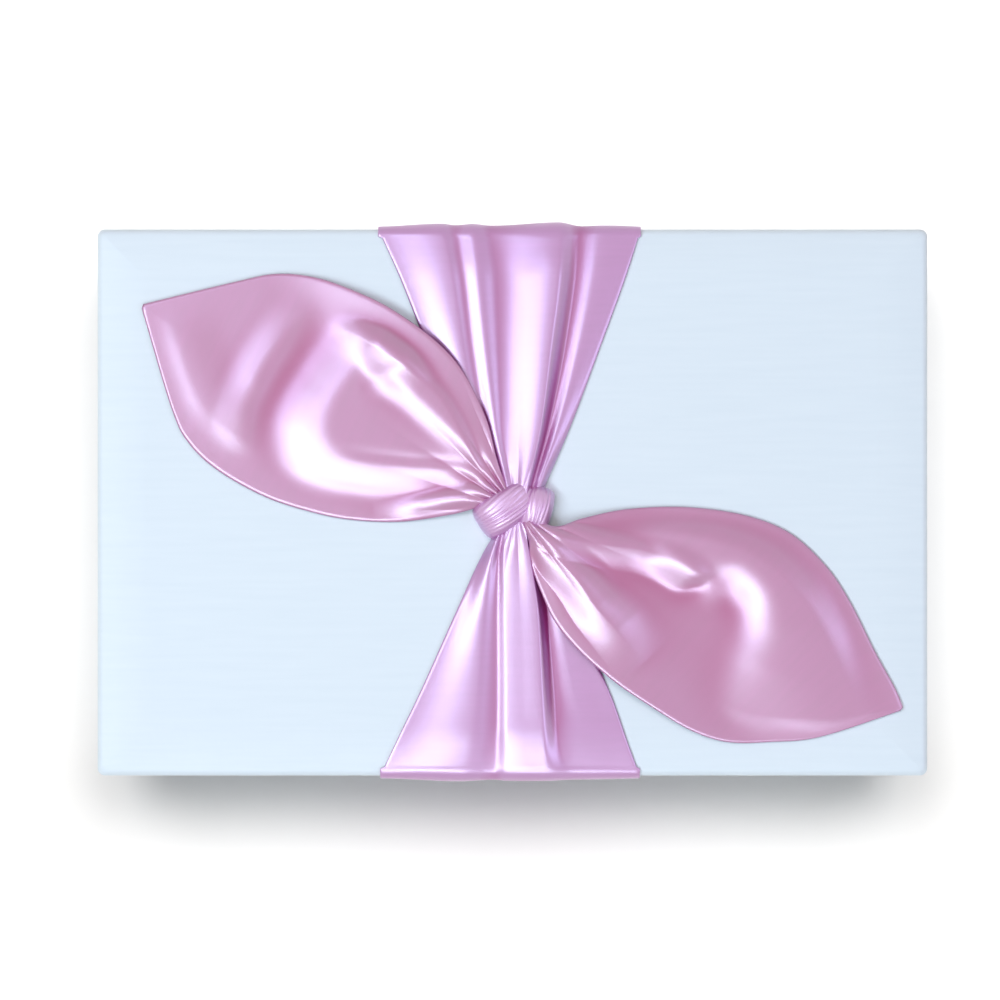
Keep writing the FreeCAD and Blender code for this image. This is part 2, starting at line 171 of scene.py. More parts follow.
def satin(name, colour, shade, roughness, place_kind, crease_shade=None, **sockets):
    """Satin: the weave lifts its floats, and thick and thin threads shift its colour a little.

    The weave runs with the piece's own UV map, or up the walls, or flat across.  Painted shade darkens
    the creases of folds, with a deeper colour and less coat gloss, by an attribute of the piece that says
    how deep each point lies.
    """
    material, tree, shader = new_material(name, roughness, **sockets)
    if place_kind == "cloth":
        place = add_node(tree, "ShaderNodeUVMap", uv_map="cloth").outputs["UV"]
    elif place_kind == "flat":
        place = object_place(tree)
    else:
        parts = add_node(tree, "ShaderNodeSeparateXYZ", {"Vector": object_place(tree)})
        along = add_node(tree, "ShaderNodeMath", {0: parts.outputs["X"], 1: parts.outputs["Y"]})
        place = add_node(tree, "ShaderNodeCombineXYZ",
                         {"X": along.outputs[0], "Y": parts.outputs["Z"]}).outputs["Vector"]
    woven = add_node(tree, "ShaderNodeGroup", node_tree=weave)
    tree.links.new(place, woven.inputs["Place"])
    woven.inputs["Thread"].default_value = THREAD
    tone = add_node(tree, "ShaderNodeMix", data_type="RGBA")
    tree.links.new(woven.outputs["Slub"], tone.inputs[0])
    tone.inputs[6].default_value = colour
    tone.inputs[7].default_value = shade
    base = tone.outputs[2]
    if crease_shade:
        crease_shade_mask = add_node(tree, "ShaderNodeAttribute", attribute_name="crease_shade_mask")
        crease_shaded = add_node(tree, "ShaderNodeMix", data_type="RGBA")
        tree.links.new(crease_shade_mask.outputs["Fac"], crease_shaded.inputs[0])
        tree.links.new(base, crease_shaded.inputs[6])
        crease_shaded.inputs[7].default_value = crease_shade
        base = crease_shaded.outputs[2]
        sheen = add_node(tree, "ShaderNodeMapRange", {
            "Value": crease_shade_mask.outputs["Fac"], "To Min": sockets["Coat_Weight"], "To Max": CREASE_SHADE_COAT})
        tree.links.new(sheen.outputs["Result"], shader.inputs["Coat Weight"])
    tree.links.new(base, shader.inputs["Base Color"])
    bump = add_node(tree, "ShaderNodeBump", {
        "Height": woven.outputs["Height"], "Distance": THREAD_RELIEF, "Strength": 0.3})
    tree.links.new(bump.outputs["Normal"], shader.inputs["Normal"])
    return material


wall_satin = satin("white_satin_wall", WHITE, WHITE_SHADE, WHITE_ROUGHNESS, "wall", Specular_IOR_Level=0.5)
flat_satin = satin("white_satin_flat", WHITE, WHITE_SHADE, WHITE_ROUGHNESS, "flat", Specular_IOR_Level=0.5)
finish_nodes(wall_satin, "base_satin_wrap",
             *("base_%s_lining" % side for side in SIDES))
finish_nodes(flat_satin, "lid_lining")

# Floor pad of the base: a card with wadding on it, satin drawn tight over both and glued below.
# It is fullest in the middle and its sides draw in between the corners.
PAD_LOW, PAD_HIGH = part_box("base_pad_cover")
PAD_ROLL = 3.5 * MM
PAD_CROWN = 0.9 * MM
PAD_WAIST = 0.5 * MM


def surface(name, points, cloth, material, closed=False):
    """A smooth mesh on a grid of points, with a UV map of cloth: each point's place on it, in metres.

    Rows run down the first index and columns along the second, to the right of the rows seen from
    outside; closed joins the last column to the first.
    """
    rows, columns = points.shape[:2]
    number = np.arange(rows * columns).reshape(rows, columns)
    if closed:
        number = np.hstack([number, number[:, :1]])
        cloth = np.hstack([cloth, cloth[:, :1]])
    quads = np.stack([number[:-1, :-1], number[:-1, 1:], number[1:, 1:], number[1:, :-1]], axis=-1)
    quads = quads.reshape(-1, 4)
    mesh = bpy.data.meshes.new(name)
    mesh.from_pydata(points.reshape(-1, 3).tolist(), [], quads.tolist())
    corners = np.stack([cloth[:-1, :-1], cloth[:-1, 1:], cloth[1:, 1:], cloth[1:, :-1]], axis=2)
    mesh.uv_layers.new(name="cloth").data.foreach_set("uv", corners.ravel().astype(np.float32))
    mesh.polygons.foreach_set("use_smooth", np.ones(len(quads), bool))
    mesh.materials.append(material)
    mesh.update()
    piece = bpy.data.objects.new(name, mesh)
    bpy.context.scene.collection.objects.link(piece)
    return piece


def drawn_over(points, outline):
    """Places on a cloth drawn over a box from the top: level places, moved out by the drop at each side.

    The columns of points run against the outline.
    """
    room = np.abs(outline).max(0) - np.abs(outline)
    facing = np.sign(outline) * (room == room.min(1, keepdims=True))
    drop = points[..., 2].max() - points[..., 2:]
    return points[..., :2] + facing[::-1][None] * drop


def weld(piece, distance=0.001 * MM):
    """Merges points that fall together, by a Weld modifier."""
    piece.modifiers.new("weld", "WELD").merge_threshold = distance
    return piece


def thicken(piece, thickness):
    """Gives a sheet its thickness, on the inner side."""
    solid = piece.modifiers.new("thickness", "SOLIDIFY")
    solid.thickness = thickness
    solid.offset = -1
    return piece


def rounded_outline(half_length, half_width, radius, steps=(110, 74, 8)):
    """Points round a rectangle with rounded corners: four straight sides, each followed by an arc."""
    long_steps, short_steps, arc_steps = steps
    turn = np.linspace(0, np.pi / 2, arc_steps, endpoint=False)
    arc = np.stack([np.sin(turn), 1 - np.cos(turn)], axis=-1) * radius
    run_x = np.linspace(-1, 1, long_steps, endpoint=False)[:, None] * [half_length - radius, 0]
    run_y = np.linspace(-1, 1, short_steps, endpoint=False)[:, None] * [0, half_width - radius]
    front = run_x + [0, -half_width]
    front_right = arc + [half_length - radius, -half_width]
    right = run_y + [half_length, 0]
    right_back = arc @ [[0, 1], [-1, 0]] + [half_length, half_width - radius]
    half = np.vstack([front, front_right, right, right_back])
    return np.vstack([half, -half])


pad_outline = rounded_outline((PAD_HIGH.x - PAD_LOW.x) / 2, (PAD_HIGH.y - PAD_LOW.y) / 2, PAD_ROLL)


def pad_points():
    """Rings of the pad's outline: flat rings shrink to the middle line on top, then roll down the side.

    Height is the crown times one less the square of the way out; the sides step in by the waist, most
    at the middle of each side.
    """
    half = np.abs(pad_outline).max(0)
    shrink = np.linspace(half.min(), PAD_ROLL, 30)
    roll = np.linspace(0, np.pi / 2, 10)[1:]
    drop = np.linspace(PAD_ROLL, PAD_HIGH.z - PAD_LOW.z, 5)[1:]
    inset = np.concatenate([shrink, PAD_ROLL * (1 - np.sin(roll)), np.zeros(len(drop))])
    fall = np.concatenate([np.zeros(len(shrink)), PAD_ROLL * (1 - np.cos(roll)), drop])
    out = pad_outline[None] * (1 - inset[:, None, None] / half)
    share = pad_outline / half
    middle = 1 - np.abs(share).min(1) ** 2
    out = out * (1 - (PAD_WAIST * middle)[None, :, None] / half)
    top = PAD_HIGH.z - PAD_CROWN * (np.abs(out / half) ** 2).max(-1)
    height = np.maximum(top - fall[:, None], PAD_LOW.z)
    return np.concatenate([out, height[..., None]], axis=-1)[:, ::-1]


cloth_satin = satin("white_satin_cloth", WHITE, WHITE_SHADE, WHITE_ROUGHNESS, "cloth",
                    Specular_IOR_Level=0.5)
pad_grid = pad_points()
pad = weld(surface("floor_pad", pad_grid, drawn_over(pad_grid, pad_outline), cloth_satin, closed=True))
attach(pad, "base")
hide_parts("base_pad_cover", "base_pad_wadding")

# Lid cover: one piece of white satin over 4 mm of wadding, drawn down the skirts, folded under
# the rim and glued up inside.  The wadding lets the top fall away softly towards its edges.
LID_LOW, LID_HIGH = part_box("lid_satin_cover")
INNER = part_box("lid_top_board")[1]
LID_ROLL = 2.2 * MM
LID_FALL = 0.9 * MM
LID_FALL_REACH = 13 * MM
LID_SWELL = 0.06 * MM
LID_SWELL_LENGTH = 23 * MM
LID_SWELL_WIDTH = 19 * MM
LID_TURN_IN = 18 * MM
SATIN = 0.4 * MM
lid_outline = rounded_outline(LID_HIGH.x, LID_HIGH.y, LID_ROLL)


def lid_top(x, y):
    """Height of the padded top: a faint swell, and a fall by the square of the nearness to an edge."""
    room = np.minimum(LID_HIGH.x - np.abs(x), LID_HIGH.y - np.abs(y))
    near = np.clip(1 - (room - LID_ROLL) / LID_FALL_REACH, 0, 1)
    swell = LID_SWELL * np.sin(x / LID_SWELL_LENGTH + 1) * np.sin(y / LID_SWELL_WIDTH)
    return LID_HIGH.z - LID_FALL * near ** 2 + swell * (1 - near)


def lid_points():
    """Rings of the lid's outline, from the middle line of the top out, over the edge, down and in.

    Top rings shrink with the outline; the edge is a quarter circle, the rim a half circle.
    """
    half = np.abs(lid_outline).max(0)
    shrink = half.min() - (half.min() - LID_ROLL) * np.linspace(0, 1, 40) ** 0.7
    turn = np.linspace(0, np.pi / 2, 8)[1:]
    rim = (LID_HIGH.x - INNER.x + SATIN) / 2
    under = np.linspace(0, np.pi, 9)[1:]
    edge_z = LID_HIGH.z - LID_FALL
    skirt = np.linspace(edge_z - LID_ROLL, LID_LOW.z + rim, 18)[1:]
    tucked = np.linspace(LID_LOW.z + rim, LID_LOW.z + LID_TURN_IN, 6)[1:]
    inset = np.concatenate([shrink, LID_ROLL * (1 - np.sin(turn)), np.zeros(len(skirt)),
                            rim * (1 - np.cos(under)), np.full(len(tucked), 2 * rim)])
    height = np.concatenate([np.zeros(len(shrink)), edge_z - LID_ROLL * (1 - np.cos(turn)), skirt,
                             LID_LOW.z + rim * (1 - np.sin(under)), tucked])
    out = lid_outline[None] * (1 - inset[:, None, None] / half)
    level = np.repeat(height[:, None], out.shape[1], 1)
    level[:len(shrink)] = lid_top(out[:len(shrink), :, 0], out[:len(shrink), :, 1])
    return np.concatenate([out, level[..., None]], axis=-1)[:, ::-1]


lid_grid = lid_points()
lid_cover = surface("lid_cover", lid_grid, drawn_over(lid_grid, lid_outline), cloth_satin, closed=True)
thicken(weld(lid_cover), SATIN)
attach(lid_cover, "lid")
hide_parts("lid_satin_cover", "lid_wadding")

# Bands of the sash: pink satin sewn as a flat tube, 76 mm wide at the lid's edges.  Each band
# gathers in folds to the knot, runs over the edge and down the skirt, and tucks in under the rim.
# The bands' colours are a painted sheen: the same satin as the tails, painted lighter and more lavender.
BAND_SHEEN_PINK = linear(175, 82, 160)
BAND_SHEEN_PINK_SHADE = linear(160, 68, 144)
GLOSS = {"Metallic": 0.12, "IOR": 2.1, "Specular_IOR_Level": 1.0, "Specular_Tint": (0.78, 0.79, 1.0, 1),
         "Coat_Weight": 1.0, "Coat_IOR": 2.1, "Coat_Roughness": 0.38}
# The deep colour is painted shade, laid into the creases of the bands' folds.
BAND_CREASE_SHADE = linear(164, 46, 122)
PINK_ROUGHNESS = 0.29
band_sheen_satin = satin("pink_satin_band", BAND_SHEEN_PINK, BAND_SHEEN_PINK_SHADE, PINK_ROUGHNESS, "cloth", BAND_CREASE_SHADE, **GLOSS)
CLOTH = 0.5 * MM
LIE = 0.25 * MM
BAND_TURN_IN = 14 * MM
KNOT = np.array([1.3, -2.2]) * MM
BAND_FOOT = 3 * MM
BAND_HEM = 1.2 * MM
EDGE_REACH = 12 * MM
EDGE_SHARE = 0.8
SKIRT_SHARE = 0.35
RIM_SHARE = 0.15
TUCK_SHARE = 0.1
GATHER_COUNT = 13
GATHER_HEIGHT = 1.0 * MM
GATHER_START = 8 * MM
GATHER_FADE = 10 * MM
BAND_GATHER = 0.2
HOLLOW_PASSES = 150
HOLLOW_DEPTH = 0.6 * MM


def even_cloth(points, length, width):
    """Places on a strip of cloth laid evenly over a grid of points: rows along it, columns across it."""
    rows, columns = points.shape[:2]
    return np.stack(np.meshgrid(np.linspace(0, width, columns), np.linspace(0, length, rows)), axis=-1)


def smooth(low, high, value):
    """0 below low, 1 above high, and a smooth step between."""
    share = np.clip((value - low) / (high - low), 0, 1)
    return share ** 2 * (3 - 2 * share)


def rounded(share):
    """A quarter circle: 0 at an edge, and level at 1 from a share of 1 on."""
    return np.sqrt(np.clip(1 - (1 - np.clip(share, 0, 1)) ** 2, 0, 1))


def ease(at, places, values):
    """A smooth line through values at places, read off at other places, along the last axis.

    It is the cubic through each pair of neighbours with a slope that is the harmonic mean of the
    slopes on both sides, and level at each crest and valley, so it never runs past a value.
    """
    step = np.diff(places)
    slope = np.diff(values) / step
    before, after = slope[..., :-1], slope[..., 1:]
    turning = before * after <= 0
    inner = np.where(turning, 0, 2 * before * after / np.where(turning, 1, before + after))
    tangent = np.concatenate([slope[..., :1], inner, slope[..., -1:]], axis=-1)
    index = (at[..., :, None] >= places[..., None, 1:-1]).sum(-1)

    def pick(array, shift=0):
        return np.take_along_axis(array, index + shift, -1)

    span = pick(step)
    share = np.clip((at - pick(places)) / span, 0, 1)
    rise = pick(values, 1) - pick(values)
    bend = (pick(tangent) * (1 - share) - pick(tangent, 1) * share) * span
    return (pick(values) + rise * share ** 2 * (3 - 2 * share)
            + share * (1 - share) * bend)


def soften(height, passes):
    """Heights averaged with their neighbours, each way of the grid, over and over."""
    around = np.pad(height, 1, mode="edge")
    for _ in range(passes):
        around[1:-1] = (around[:-2] + around[1:-1] + around[2:]) / 3
        around[:, 1:-1] = (around[:, :-2] + around[:, 1:-1] + around[:, 2:]) / 3
    return around[1:-1, 1:-1]


def mark_crease_shade(piece, height):
    """Stores how far each point lies below its surroundings, 0 on crests and 1 at full depth: the mask of
    the painted shade in the creases.
    """
    depth = np.clip((soften(height, HOLLOW_PASSES) - height) / HOLLOW_DEPTH, 0, 1)
    crease_shade_mask = piece.data.attributes.new("crease_shade_mask", "FLOAT", "POINT")
    crease_shade_mask.data.foreach_set("value", depth.ravel().astype(np.float32))
    return piece


def gathers(x, y):
    """Small pleats that radiate from the knot: a folded sine of the bearing, fading with the distance."""
    away = np.hypot(x - KNOT[0], y - KNOT[1])
    bearing = np.arctan2(y - KNOT[1], x - KNOT[0])
    pleat = np.abs(np.sin(GATHER_COUNT * bearing + 1.2 * np.sin(3 * bearing))) - 0.5
    return GATHER_HEIGHT * pleat * np.exp(-np.maximum(away - GATHER_START, 0) / GATHER_FADE)


def band_points(way, stations, places, heights, rows=(130, 10, 26, 10, 12), columns=210):
    """A band as a path from the knot over the edge, with folds standing off it.

    The path is level, then a quarter circle over the lid's edge, down the skirt, a half circle under
    the rim and up inside.  At each station out from the knot, places are the sideways places of its
    two sides and of each valley and crest between them, and heights are theirs, all in millimetres.
    The folds keep their height on the lid and lose most of it over the edge and down the skirt.
    """
    top_run = LID_HIGH.y - LID_ROLL - way * KNOT[1] - BAND_FOOT
    corner = LID_ROLL + LIE
    rim = (LID_HIGH.x - INNER.x + SATIN) / 2 + LIE
    edge_z = LID_HIGH.z - LID_FALL - LID_ROLL
    run = np.linspace(0, 1, rows[0], endpoint=False)
    turn = np.linspace(0, np.pi / 2, rows[1], endpoint=False)
    drop = np.linspace(0, 1, rows[2], endpoint=False)
    under = np.linspace(0, np.pi, rows[3], endpoint=False)
    tuck = np.linspace(0, 1, rows[4])
    zero, one = np.zeros, np.ones
    out = np.concatenate([
        way * KNOT[1] + BAND_FOOT + top_run * run, LID_HIGH.y - LID_ROLL + corner * np.sin(turn),
        (LID_HIGH.y + LIE) * one(rows[2]), LID_HIGH.y + LIE - rim * (1 - np.cos(under)),
        (LID_HIGH.y + LIE - 2 * rim) * one(rows[4])])
    up = np.concatenate([
        zero(rows[0]), edge_z + corner * np.cos(turn),
        edge_z + (LID_LOW.z + rim - LIE - edge_z) * drop, LID_LOW.z - LIE + rim * (1 - np.sin(under)),
        LID_LOW.z - LIE + rim + (BAND_TURN_IN - rim) * tuck])
    normal_out = np.concatenate([zero(rows[0]), np.sin(turn), one(rows[2]), np.cos(under), -one(rows[4])])
    normal_up = np.concatenate([one(rows[0]), np.cos(turn), zero(rows[2]), -np.sin(under), zero(rows[4])])
    near_edge = smooth(top_run - EDGE_REACH, top_run, top_run * run)
    calm = np.concatenate([
        1 - (1 - EDGE_SHARE) * near_edge, EDGE_SHARE - (EDGE_SHARE - SKIRT_SHARE) * turn / turn[-1],
        SKIRT_SHARE - (SKIRT_SHARE - RIM_SHARE) * drop, RIM_SHARE * one(rows[3]), TUCK_SHARE * one(rows[4])])

    reach = np.concatenate([out[:rows[0]], np.full(sum(rows[1:]), LID_HIGH.y)]) / MM
    stops = np.repeat(np.array(stations, float)[None], len(places[0]), 0)
    wanted = np.repeat(np.clip(reach, stops[0, 0], stops[0, -1])[None], len(places[0]), 0)
    across_places = ease(wanted, stops, np.array(places, float).T).T
    across_heights = ease(wanted, stops, np.array(heights, float).T).T
    even = np.linspace(0, 1, columns)
    across = 0.5 * even + 0.25 * (1 - np.cos(np.pi * even))
    left, right = across_places[:, :1], across_places[:, -1:]
    x = left + (right - left) * across
    height = ease(x, across_places, across_heights)
    hem = rounded(np.minimum(x - left, right - x) * MM / BAND_HEM)
    x = x * MM
    y = way * out[:, None] * np.ones_like(x)
    stand = CLOTH + (height * MM * calm[:, None] + BAND_GATHER * gathers(x, y)) * hem
    level = up[:, None] + np.zeros_like(x)
    level[:rows[0]] = lid_top(x[:rows[0]], y[:rows[0]]) + LIE
    y = y + way * normal_out[:, None] * stand
    points = np.stack([x, y, level + normal_up[:, None] * stand], axis=-1)
    return (points, stand) if way > 0 else (points[:, ::-1], stand[:, ::-1])


back_points = band_points(
    1, (4, 22, 45, 66, 79),
    places=((-4.5, -3.8, -3.0, -2.4, -1.4, -0.6, 4.1, 5.6, 7.0, 9.1),
            (-14.0, -13.2, -10.2, -8.0, -4.7, -3.0, 8.0, 10.7, 13.2, 16.8),
            (-24.6, -23.4, -14.5, -12.0, -7.6, -3.5, 10.7, 15.6, 19.5, 25.4),
            (-33.0, -31.5, -17.8, -14.5, -9.8, -4.0, 13.0, 18.8, 24.0, 33.0),
            (-38.8, -37.0, -20.5, -16.5, -11.5, -6.0, 13.5, 20.0, 26.0, 37.1)),
    heights=((2.0, 2.6, 3.6, 3.2, 4.4, 4.0, 5.6, 3.0, 3.6, 1.5),
             (0.6, 0.9, 2.8, 2.2, 3.1, 2.6, 5.0, 1.0, 1.8, 0.6),
             (0.5, 0.6, 2.3, 1.8, 2.8, 1.8, 4.6, 0.5, 1.2, 0.4),
             (0.4, 0.5, 2.4, 1.6, 2.6, 1.3, 4.2, 0.5, 1.2, 0.4),
             (0.3, 0.4, 2.6, 1.4, 2.4, 1.0, 3.6, 0.5, 1.2, 0.3)))
front_points = band_points(
    -1, (8, 14, 32, 55, 70, 79),
    places=((-4.5, -4.0, -3.3, -2.6, -1.6, 1.0, 3.8, 5.0, 5.8, 6.5),
            (-8.2, -7.8, -5.6, -3.9, -2.4, 1.5, 4.6, 5.9, 6.9, 7.8),
            (-16.5, -15.5, -8.5, -4.7, -2.0, 2.5, 7.0, 10.2, 13.0, 17.2),
            (-26.8, -25.0, -10.5, -4.7, -1.6, 3.0, 8.2, 12.4, 18.0, 28.2),
            (-34.0, -31.5, -13.0, -4.9, -1.6, 3.2, 9.0, 13.6, 22.0, 33.5),
            (-38.2, -35.5, -15.5, -5.2, -1.8, 3.5, 10.0, 17.0, 25.0, 36.8)),
    heights=((2.0, 2.5, 4.0, 3.2, 4.0, 4.4, 4.6, 3.0, 3.2, 1.5),
             (0.8, 1.1, 3.4, 2.4, 3.3, 3.8, 4.2, 1.4, 1.8, 0.8),
             (0.5, 0.6, 2.4, 1.7, 2.6, 3.2, 3.6, 0.4, 0.8, 0.5),
             (0.4, 0.5, 2.3, 1.5, 2.5, 3.0, 3.4, 0.2, 0.5, 0.4),
             (0.3, 0.4, 2.3, 1.4, 2.4, 2.8, 2.9, 1.0, 0.8, 0.4),
             (0.3, 0.4, 2.6, 1.4, 2.2, 2.4, 2.3, 1.4, 1.0, 0.3)))
for side, (points, stand) in (("back", back_points), ("front", front_points)):
    cloth = even_cloth(points, length=0.13, width=0.076)
    band = surface("%s_band" % side, points, cloth, band_sheen_satin)
    thicken(mark_crease_shade(band, stand), CLOTH)
    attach(band, "lid")
    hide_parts("sash_%s_band" % side)

# Tails of the sash: its two ends, cut to a leaf and sewn to a point.  Each springs out of the knot
# over a band and lies on the lid; folds run out from the knot and die away towards the point.
ROSE = linear(167, 42, 121)
ROSE_SHADE = linear(151, 32, 105)
# The deep colour is painted shade, laid into the creases of the tails' folds.
TAIL_CREASE_SHADE = linear(164, 26, 100)
tail_satin = satin("pink_satin_tail", ROSE, ROSE_SHADE, PINK_ROUGHNESS, "cloth", TAIL_CREASE_SHADE, **GLOSS)
TAIL_HEM = 1.3 * MM
TAIL_HEM_HEIGHT = 0.6 * MM
TAIL_CALM = 12 * MM
GATHER_CALM = 3 * MM
FOLD_PASSES = 10
FOLD_BLEND = 0.8 * MM
CLIMB_START = -40 * MM
CLIMB_END = 4 * MM


def curve_through(points, count):
    """A smooth line through the points: a Catmull-Rom spline, stepped evenly in its parameter."""
    p = np.asarray(points, float)
    p = np.vstack([2 * p[0] - p[1], p, 2 * p[-1] - p[-2]])
    s = np.linspace(0, len(points) - 1 - 1e-9, count)
    i = s.astype(int)
    f = (s - i)[:, None]
    a, b, c, d = p[i], p[i + 1], p[i + 2], p[i + 3]
    square = (2 * a - 5 * b + 4 * c - d) * f ** 2
    cube = (3 * b - a - 3 * c + d) * f ** 3
    return (2 * b + (c - a) * f + square + cube) / 2


def bell(x):
    """A flank that is soft at crest and foot: half a cosine wave."""
    return (1 + np.cos(np.pi * x)) / 2


def nip(x):
    """A flank with a sharp crest and a soft foot: one less a quarter sine."""
    return 1 - np.sin(np.pi / 2 * x)


def ramp(x):
    """A flank of nearly even slope: a straight fall mixed with half a cosine wave."""
    return 0.7 * (1 - x) + 0.3 * bell(x)


def stay(x):
    """A side with no flank: the height stays as it is."""
    return np.ones_like(x)


def fold(x, y, crest, heights, left, right, shapes=(bell, bell)):
    """Height of one fold at each place: a hump that follows a crest line, all in millimetres.

    The distance to the nearest stretch of the line, over the flank's width on that side, goes through
    the flank's shape; heights and widths are interpolated along the line.
    """
    line = curve_through(crest, 120)
    start, run = line[:-1], np.diff(line, axis=0)
    px, py = x.reshape(-1, 1) / MM, y.reshape(-1, 1) / MM
    along = ((px - start[:, 0]) * run[:, 0] + (py - start[:, 1]) * run[:, 1]) / (run ** 2).sum(1)
    along = np.clip(along, 0, 1)
    dx = px - start[:, 0] - along * run[:, 0]
    dy = py - start[:, 1] - along * run[:, 1]
    nearest = np.hypot(dx, dy).argmin(1)[:, None]
    gap = np.take_along_axis(np.hypot(dx, dy), nearest, 1)[:, 0]
    lefthand = np.take_along_axis(run[:, 0] * dy - run[:, 1] * dx, nearest, 1)[:, 0] > 0
    share = (nearest[:, 0] + np.take_along_axis(along, nearest, 1)[:, 0]) / len(run)

    def along_line(values):
        return np.interp(share, np.linspace(0, 1, len(values)), values)

    left_share = np.clip(gap / along_line(left), 0, 1)
    right_share = np.clip(gap / along_line(right), 0, 1)
    flank = np.where(lefthand, shapes[0](left_share), shapes[1](right_share))
    return (along_line(heights) * flank * MM).reshape(x.shape)


def leaf_points(near, far, folds, drape, rows=240, columns=170):
    """A tail between two edge lines, from the knot to the point, standing on the lid by its folds.

    Near is the edge line on the side of the band that the tail crosses.  Places run straight across
    from one edge line to the other.  Height is the lid's top, then the greater of the lift over the
    band below and the folds, eased into each other, and a round edge.
    """
    one, two = curve_through(near, rows) * MM, curve_through(far, rows) * MM
    even = np.linspace(0, 1, columns)
    across = (0.4 * even + 0.3 * (1 - np.cos(np.pi * even)))[None, :, None]
    place = one[:, None] + (two - one)[:, None] * across
    x, y = place[..., 0], place[..., 1]
    width = np.hypot(*(two - one).T)[:, None]
    side = np.minimum(across[..., 0], 1 - across[..., 0]) * width
    tip = np.hypot(x - one[-1, 0], y - one[-1, 1])
    edge = np.minimum(side, tip)
    settled = soften(folds(x, y), FOLD_PASSES) * smooth(0, TAIL_CALM, side)
    under = drape(x, y)
    lift = (settled + under + np.hypot(settled - under, FOLD_BLEND) - FOLD_BLEND) / 2
    lift = lift + gathers(x, y) * smooth(0, GATHER_CALM, side)
    height = lid_top(x, y) + LIE + CLOTH + TAIL_HEM_HEIGHT * rounded(edge / TAIL_HEM) + lift
    return np.stack([x, y, height], axis=-1)[:, ::-1], lift[:, ::-1]


def climb(x, y, way, foot, lean, height):
    """A long rise of a tail on to a band: a smooth step of the way in past the band's slanting side.

    Foot, in millimetres, is where that side leaves the knot, and lean its slant in X for each step in Y.
    """
    inside = way * (x - foot[0] * MM + lean * (y - foot[1] * MM))
    return height * MM * smooth(CLIMB_START, CLIMB_END, inside)


def left_drape(x, y):
    """The left tail climbs over the back band, which widens to the back edge, and has a lower lip."""
    lip = fold(x, y, ((-40, -2.4), (-26, -0.6), (-13, 1.8), (-3, 3)), (0, 1.3, 1.6, 0.8), (4.5,), (4.5,))
    return climb(x, y, 1, foot=(-4.5, 6.5), lean=0.474, height=3.9) + lip


def left_folds(x, y):
    """Folds of the left tail: two steps up towards the knot, a crease, and soft swells outside them."""
    low_step = fold(x, y, ((-20, 66), (-32, 53), (-43, 41.5), (-51, 31), (-53.6, 22.6), (-51.4, 16.5),
                           (-43.4, 12.6), (-29.1, 11), (-14.8, 10), (-2, 4)),
                    (3.4,), (9,), (24, 20, 15, 14, 18, 17, 13, 12, 10, 6), (stay, ramp))
    high_step = fold(x, y, ((-18, 62), (-23, 52), (-30, 44.5), (-36, 38.5), (-28, 31.5), (-16.5, 20.5),
                            (-7, 11), (2, 4)),
                     (1.5,), (9,), (40, 32, 18, 7.5, 6.5, 6, 5, 4), (stay, ramp))
    crease = fold(x, y, ((-52, 15.6), (-43.4, 14.0), (-29.1, 12.4), (-14.8, 11.2), (-6, 6.5)),
                  (0, -0.5, -0.8, -0.6, 0), (1.8,), (1.6,), (nip, nip))
    swell = fold(x, y, ((-52, 58), (-61, 53), (-68, 45), (-74, 35), (-77.5, 25), (-79, 13)),
                 (0, 0.6, 1.4, 1.7, 1.2, 0), (8,), (9,), (bell, ramp))
    crumple = fold(x, y, ((-54, 57), (-45, 54.5), (-36, 50), (-28, 44.5), (-21, 37)), (0, 1.6, 3.0, 3.0, 0),
                   (9,), (14,), (bell, ramp))
    notch = fold(x, y, ((-43, 33), (-36, 37.5), (-29.5, 40)), (0, -0.9, 0), (2.2,), (2.2,), (nip, nip))
    point = fold(x, y, ((-104, 60), (-95, 46), (-88, 30), (-80, 18), (-72, 10)), (0, 0.7, 0.8, 0.5, 0),
                 (13,), (13,))
    return low_step + high_step + crease + swell + crumple + notch + point


left_points = leaf_points(
    near=((-1, 3), (-4.3, 12), (-7.4, 23.8), (-13.7, 36.8), (-20.9, 45.4), (-31, 53.2), (-41.1, 59),
          (-55.5, 64.5), (-67.9, 65.9), (-80, 63.6), (-106.4, 57.2)),
    far=((-2, -1), (-9.4, -1.5), (-18, -3.6), (-32.5, -5.6), (-46.9, -5), (-58.4, -2.7), (-71.4, 1.6),
         (-84.4, 8.8), (-93, 16.6), (-98.2, 26.7), (-106.9, 55.8)),
    folds=left_folds, drape=left_drape)


def right_drape(x, y):
    """The right tail climbs over the front band, which widens to the front edge, and bears a ridge."""
    ridge = fold(x, y, ((5, -9), (11.5, -15), (18.5, -22.3), (24, -30), (30, -36.8), (38, -46)),
                 (2.0, 2.6, 2.8, 2.6, 1.8, 0), (6, 9, 12, 14), (5, 7, 8, 9), (bell, ramp))
    root = fold(x, y, ((5, -5.5), (14, -10), (26, -12.2), (37, -13.6), (46, -17), (53, -21)),
                (1.4, 2.3, 2.3, 2.3, 1.6, 0), (8,), (5, 7, 8), (bell, ramp))
    return climb(x, y, -1, foot=(6.5, -7.9), lean=0.427, height=3.6) + ridge + root


